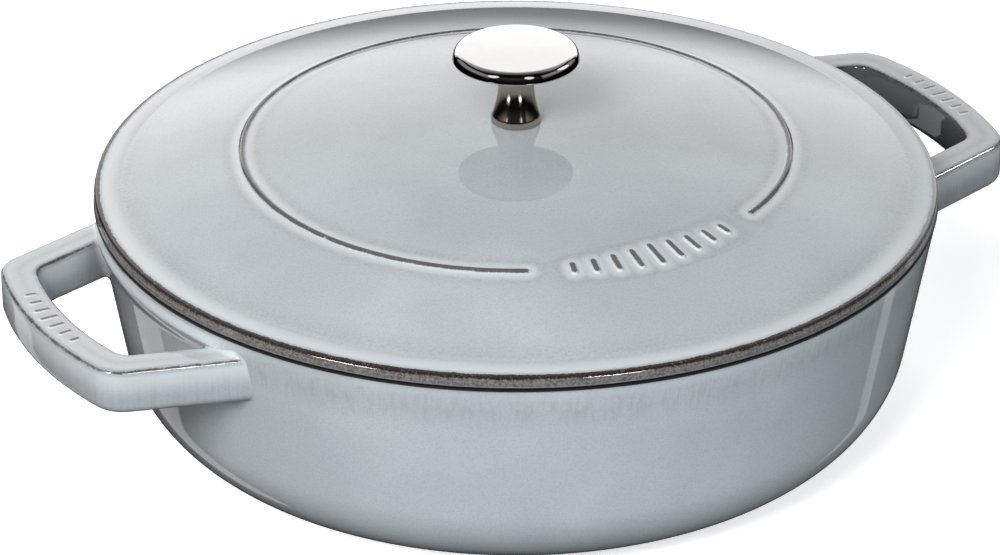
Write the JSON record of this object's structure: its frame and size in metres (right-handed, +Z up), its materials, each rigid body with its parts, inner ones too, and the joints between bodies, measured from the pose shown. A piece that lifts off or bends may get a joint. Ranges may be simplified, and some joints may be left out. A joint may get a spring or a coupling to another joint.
{
  "type": "lidded cast-iron pan",
  "caption": "Round shallow cast-iron pan in pale grey enamel with a loop handle at each end and a domed lift-off lid with a polished metal knob.",
  "frame": {"origin": "centre of the pan's flat base, on the surface it stands on", "axes": "+Z up through the knob, +X along the line of the two handles, -Y towards the gap in the lid's raised ring"},
  "size_m": [0.3694, 0.2952, 0.1354],
  "materials": {
    "grey_enamel": "gloss translucent grey enamel over cast iron, dark at the edges",
    "polished_metal": "polished nickel",
    "steel_fixing": "plain steel"
  },
  "bodies": {
    "pan": {"pan": "grey_enamel"},
    "lid": {"lid": "grey_enamel", "knob": "polished_metal", "knob_screw": "steel_fixing", "screw_washer": "steel_fixing"}
  },
  "joints": [
    {"name": "lid_lift", "type": "slide", "parent": "pan", "child": "lid", "axis": [0, 0, 1], "range_m": [0, 0.14]}
  ]
}
